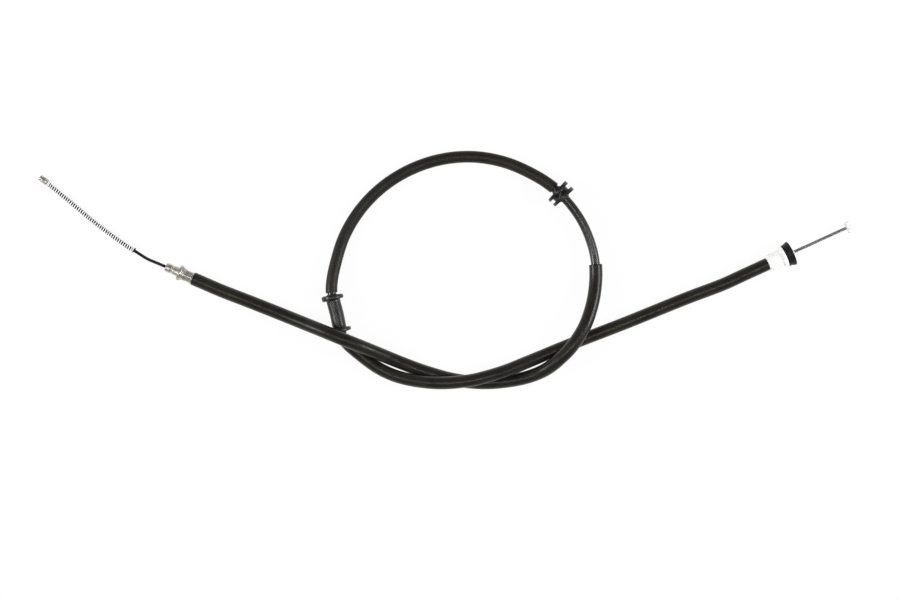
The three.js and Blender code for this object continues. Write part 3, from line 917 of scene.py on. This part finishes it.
class CABLE_OT_grommets(bpy.types.Operator):
    """The short double-flanged grommet and the long one"""

    bl_idname = "cable.grommets"
    bl_label = "Grommets"

    def execute(self, context):
        g = settings().grommets
        layout = casing_layout()
        rgb = settings().colours.grommet
        material = rubber("grommet rubber", rgb, 0.26, 0.40, grain=0.00003, scuffs=0.5, gloss=0.55)
        for name, outline in (
            ("short_grommet", self.short_outline(g, layout["short_grommet"][0])),
            ("long_grommet", self.long_outline(g, layout["long_grommet"][0])),
        ):
            piece = turned(name + "_rubber", outline, 72)
            lay_on(piece, layout["route"])
            smooth(piece)
            settle(piece, "casing_assembly", "grommet_rubber", material, name)
        return {"FINISHED"}

    def short_outline(self, g, start):
        flange, core, hub = g.short_flange / 2, g.short_core / 2, g.short_hub / 2
        a = start + g.short_hub_length
        b = a + g.short_flange_length
        c = b + g.short_core_length
        d = c + g.short_flange_length
        end = d + g.short_hub_length
        edge, fillet, rim = 0.6 * MM, 0.7 * MM, 0.3 * MM
        return rounded([
            (start, g.bore / 2, 0),
            (start, hub, rim),
            (a, hub, fillet),
            (a, flange, edge),
            (b, flange, edge),
            (b, core, fillet),
            (c, core, fillet),
            (c, flange, edge),
            (d, flange, edge),
            (d, hub, fillet),
            (end, hub, rim),
            (end, g.bore / 2, 0),
            (start, g.bore / 2, 0),
        ])

    def long_outline(self, g, start):
        flange, tube, neck = g.long_flange / 2, g.long_tube / 2, g.long_neck / 2
        a = start + g.long_first_neck
        b = a + g.long_flange_length
        c = b + g.long_tube_length
        d = c + g.long_flange_length
        end = d + g.long_second_neck
        edge, fillet, rim, root = 1.6 * MM, 0.8 * MM, 0.3 * MM, 0.5 * MM
        corners = [
            (start, g.bore / 2, 0),
            (start, neck, rim),
            (a, neck, root),
            (a, flange, edge),
            (b, flange, edge),
            (b, tube, fillet),
        ]
        corners += [(x, tube, 0) for x in stations(b, c, 0.003)[1:-1]]
        corners += [
            (c, tube, fillet),
            (c, flange, edge),
            (d, flange, edge),
            (d, neck, root),
            (end, neck, rim),
        ]
        return rounded(corners) + [Vector((x, g.bore / 2)) for x in stations(end, start, 0.006)]


class CABLE_OT_ferrule(bpy.types.Operator):
    """The plated ferrule, crimped over the end of the casing"""

    bl_idname = "cable.ferrule"
    bl_label = "Ferrule"

    def execute(self, context):
        f = settings().ferrule
        piece = turned("ferrule_shell", self.outline(f), 72)
        self.crimp(piece, f)
        place_on_axis(piece, LEVER_NOSE, LEVER_INWARD)
        smooth(piece)
        steel = plated_steel("plated steel", settings().colours.zinc, metallic=0.8, stained=0.38)
        settle(piece, "casing_assembly", "plated_steel", steel, "lever_ferrule")
        return {"FINISHED"}

    def outline(self, f):
        groove = f.nose_length
        neck = groove + f.groove_length
        collar = neck + f.neck_length
        ring = collar + f.collar_length
        barrel = ring + f.ring_length
        end = barrel + f.barrel_length
        edge, mouth = 0.4 * MM, 0.8 * MM
        corners = [
            (mouth, f.cable_bore / 2, 0.3 * MM),
            (0, f.cable_bore / 2 + mouth, 0.2 * MM),
            (0, f.nose / 2, f.nose_round),
            (groove - 0.2 * MM, f.nose / 2, 0.9 * MM),
            (groove, f.groove / 2, 0.3 * MM),
            (neck, f.groove / 2, 0.3 * MM),
            (neck + 0.3 * MM, f.neck_front / 2, 0.3 * MM),
            (collar, f.neck_back / 2, 0.5 * MM),
            (collar, f.collar / 2, edge),
            (ring, f.collar / 2, edge),
            (ring, f.ring / 2, 0.2 * MM),
            (barrel, f.ring / 2, edge),
            (barrel, f.barrel / 2, 0.3 * MM),
        ]
        corners += [(x, f.barrel / 2, 0) for x in stations(barrel, end, 0.0005)[1:-1]]
        corners += [
            (end, f.barrel / 2, edge),
            (end, f.casing_bore / 2, 0),
            (barrel, f.casing_bore / 2, 0),
            (barrel, f.cable_bore / 2, 0),
        ]
        return [Vector((barrel, f.cable_bore / 2))] + rounded(corners)

    def crimp(self, piece, f):
        """Presses six flats into the barrel, with soft ends."""
        behind_middle = 0.5 * MM
        middle = ferrule_length() - f.barrel_length / 2 + behind_middle
        sector = math.radians(60)
        for vertex in piece.data.vertices:
            x, y, z = vertex.co
            radius = math.hypot(y, z)
            depth = f.crimp_depth * min(1, max(0, (f.crimp_length / 2 - abs(x - middle)) / MM + 0.5))
            if radius < f.barrel / 2 - f.crimp_depth or depth == 0:
                continue
            away = (math.atan2(z, y) + sector / 2) % sector - sector / 2
            reach = min(1, (f.barrel / 2 - depth) / math.cos(away) / radius)
            vertex.co = (x, y * reach, z * reach)


class CABLE_OT_strands(bpy.types.Operator):
    """The two visible ends of the inner cable, and the finish of its hidden middle"""

    bl_idname = "cable.strands"
    bl_label = "Strands"

    def execute(self, context):
        s = settings().strand
        rgb = settings().colours
        black = steel_strand("coated strand", rgb.strand, 0.35, 0.26, 0.40)
        bare = steel_strand("bare strand", rgb.bare_strand, 1.0, 0.16, 0.28, s.diameter / 2)
        start = s.nipple_length - s.nipple_socket + settings().casing.seat_gap
        for name, points, body, begin, material, node in (
            ("lever_strand", lever_points(), "lever_end", start, black, "inner_cable_lever_end"),
            ("wheel_strand", wheel_points(), "wheel_end", 0, bare, "inner_cable_wheel_end"),
        ):
            route = Route(points, 0.001)
            length = route.length - begin
            piece = rope(name, length, s.diameter, s.lay, s.wire_lay)
            piece.data.transform(Matrix.Translation((begin, 0, 0)))
            lay_on(piece, route)
            smooth(piece, 60)
            settle(piece, body, "coated_strand", material, node)
        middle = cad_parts["inner_cable_middle"]
        middle.data.materials.clear()
        middle.data.materials.append(black)
        return {"FINISHED"}


class CABLE_OT_spring(bpy.types.Operator):
    """The return spring with its closed end turns"""

    bl_idname = "cable.spring"
    bl_label = "Return spring"

    def execute(self, context):
        s = settings().strand
        start = s.nipple_length + settings().casing.seat_gap + s.spring_wire / 2
        closed = 1.5  # turns at each end
        open_length = s.spring_length - 2 * closed * s.spring_closed_pitch
        turns = round(open_length / s.spring_pitch)
        parts = [
            (closed, s.spring_closed_pitch),
            (turns, open_length / turns),
            (closed, s.spring_closed_pitch),
        ]
        radius = (s.spring_inside + s.spring_wire) / 2
        piece = coil("spring_coil", radius, s.spring_wire, parts)
        piece.data.transform(Matrix.Translation((start, 0, 0)))
        lay_on(piece, Route(lever_points(), 0.001))
        smooth(piece, 60)
        steel = spring_steel(settings().colours.spring, radius)
        settle(piece, "lever_end", "spring_steel", steel, "return_spring")
        return {"FINISHED"}


class CABLE_OT_nipples(bpy.types.Operator):
    """The domed nipple at the lever end and the barrel at the wheel end"""

    bl_idname = "cable.nipples"
    bl_label = "Nipples"

    def execute(self, context):
        self.add_nipple(settings().strand)
        self.add_barrel(settings().strand)
        return {"FINISHED"}

    def add_nipple(self, s):
        radius, length = s.nipple / 2, s.nipple_length
        mouth = s.diameter / 2 + settings().casing.seat_gap
        groove = s.nipple_dome + 0.75 * MM
        groove_floor = radius - 0.4 * MM
        outline = rounded([
            (0, 0, 0),
            (0, radius, s.nipple_dome),
            (groove - 0.6 * MM, radius, 0.2 * MM),
            (groove - 0.3 * MM, groove_floor, 0.15 * MM),
            (groove + 0.3 * MM, groove_floor, 0.15 * MM),
            (groove + 0.6 * MM, radius, 0.2 * MM),
            (length, radius, 0.5 * MM),
            (length, mouth, 0.2 * MM),
            (length - s.nipple_socket, mouth, 0),
            (length - s.nipple_socket, 0, 0),
        ], 6)
        piece = turned("nipple_body", outline, 48)
        route = Route(lever_points(), 0.001)
        start, end = route.at(0), route.at(length)
        place_on_axis(piece, start, (end - start).normalized())
        smooth(piece)
        steel = plated_steel("plated steel", settings().colours.zinc, metallic=0.8, stained=0.38)
        settle(piece, "lever_end", "plated_steel", steel, "lever_nipple")

    def add_barrel(self, s):
        radius, half = s.barrel / 2, s.barrel_length / 2
        waist = radius - 0.15 * MM
        outline = rounded([
            (-half, 0, 0),
            (-half, radius, 0.7 * MM),
            (-half + 2.2 * MM, radius, 0.2 * MM),
            (-half + 2.6 * MM, waist, 0.2 * MM),
            (half - 2.6 * MM, waist, 0.2 * MM),
            (half - 2.2 * MM, radius, 0.2 * MM),
            (half, radius, 0.7 * MM),
            (half, 0, 0),
        ])
        piece = turned("barrel_body", outline, 48)
        across = UP.cross(WHEEL_OUTWARD)
        place_on_axis(piece, on_wheel_axis(s.barrel_reach), across)
        smooth(piece)
        # Painted light: the barrel gets the lighter copy of the zinc plating.
        steel = plated_steel("bright plated steel", settings().colours.lit_zinc, metallic=0.25, stained=0.85)
        settle(piece, "wheel_end", "plated_steel", steel, "wheel_barrel")


class CABLE_OT_wheel_fitting(bpy.types.Operator):
    """The nylon bush, the rubber seal on it and the liner that stands out of it"""

    bl_idname = "cable.wheel_fitting"
    bl_label = "Wheel fitting"

    def execute(self, context):
        w = settings().wheel_end
        gap = settings().casing.seat_gap
        rgb = settings().colours
        white = nylon("white nylon", rgb.nylon)
        black = rubber("seal rubber", rgb.seal, 0.42, 0.58, grain=0.00005, scuffs=0.5)
        for name, outline, material, slot, node in (
            ("bush_body", self.bush(w, gap), white, "white_nylon", "wheel_bush"),
            ("seal_ring", self.seal(w, gap), black, "seal_rubber", "wheel_seal"),
            ("liner_tube", self.liner(w, gap), white, "white_nylon", "liner_snout"),
        ):
            piece = turned(name, outline, 64)
            place_on_axis(piece, SEAL_FACE, WHEEL_OUTWARD)
            smooth(piece)
            settle(piece, "casing_assembly", slot, material, node)
        return {"FINISHED"}

    def bush(self, w, gap):
        back = -bush_back()
        front = -w.seal_length - gap
        flange = front - w.flange_length
        bore = w.casing_bore / 2
        liner = w.liner / 2 + gap
        return rounded([
            (back, bore, 0),
            (back, w.taper / 2, 0.4 * MM),
            (back + w.taper_length, w.body / 2, 0.6 * MM),
            (flange, w.body / 2, 0.6 * MM),
            (flange, w.flange / 2, 0.6 * MM),
            (front, w.flange / 2, 0.3 * MM),
            (front, w.spigot / 2, 0.2 * MM),
            (-w.recess, w.spigot / 2, 0.7 * MM),
            (-w.recess, liner, 0.2 * MM),
            (back + w.socket, liner, 0),
            (back + w.socket, bore, 0),
            (back, bore, 0),
        ])

    def seal(self, w, gap):
        inside = w.spigot / 2 + gap
        return rounded([
            (-w.seal_length, inside, 0),
            (-w.seal_length, w.seal_back / 2, 0.8 * MM),
            (-w.seal_length * 0.62, w.seal_back / 2 + 0.2 * MM, 2 * MM),
            (-0.8 * MM, w.seal / 2, 0.6 * MM),
            (0, w.seal / 2 - 0.3 * MM, 0.5 * MM),
            (0, inside, 0.3 * MM),
            (-w.seal_length, inside, 0),
        ])

    def liner(self, w, gap):
        back = -bush_back() + w.socket + gap
        return rounded([
            (back, w.liner_bore / 2, 0),
            (back, w.liner / 2, 0),
            (w.snout, w.liner / 2, 0.25 * MM),
            (w.snout, w.liner_bore / 2, 0.15 * MM),
            (back, w.liner_bore / 2, 0),
        ])


class CABLE_OT_cords(bpy.types.Operator):
    """Works out the routes of the casing and of the lever strand, and does nothing further with them."""

    bl_idname = "cable.cords"
    bl_label = "Cords"

    def execute(self, context):
        route = Route(casing_points())
        lever = Route(lever_points(), 0.001)
        return {"FINISHED"}


OPERATORS = (
    CABLE_OT_stage,
    CABLE_OT_casing,
    CABLE_OT_sleeves,
    CABLE_OT_grommets,
    CABLE_OT_ferrule,
    CABLE_OT_strands,
    CABLE_OT_spring,
    CABLE_OT_nipples,
    CABLE_OT_wheel_fitting,
    CABLE_OT_cords,
)


class CABLE_PT_panel(bpy.types.Panel):
    """Lists the operators that make the cable"""

    bl_idname = "CABLE_PT_panel"
    bl_label = "Brake cable"
    bl_space_type = "VIEW_3D"
    bl_region_type = "UI"
    bl_category = "Brake cable"

    def draw(self, context):
        for operator in OPERATORS:
            self.layout.operator(operator.bl_idname)


SETTINGS = (
    CasingSizes, GrommetSizes, FerruleSizes, StrandSizes, WheelEndSizes, Colours, StudioSizes, CableSettings
)
CLASSES = (*SETTINGS, *OPERATORS, CABLE_PT_panel)


def register():
    for item in CLASSES:
        bpy.utils.register_class(item)
    bpy.types.Scene.brake_cable = PointerProperty(type=CableSettings)


def unregister():
    del bpy.types.Scene.brake_cable
    for item in reversed(CLASSES):
        bpy.utils.unregister_class(item)


def corners(box):
    return [list(corner) for corner in box]


def main():
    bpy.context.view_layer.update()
    bpy.context.scene.view_settings.view_transform = "Standard"
    register()
    for operator in OPERATORS:
        group, name = operator.bl_idname.split(".")
        getattr(getattr(bpy.ops, group), name)()


if __name__ == "__main__":
    main()
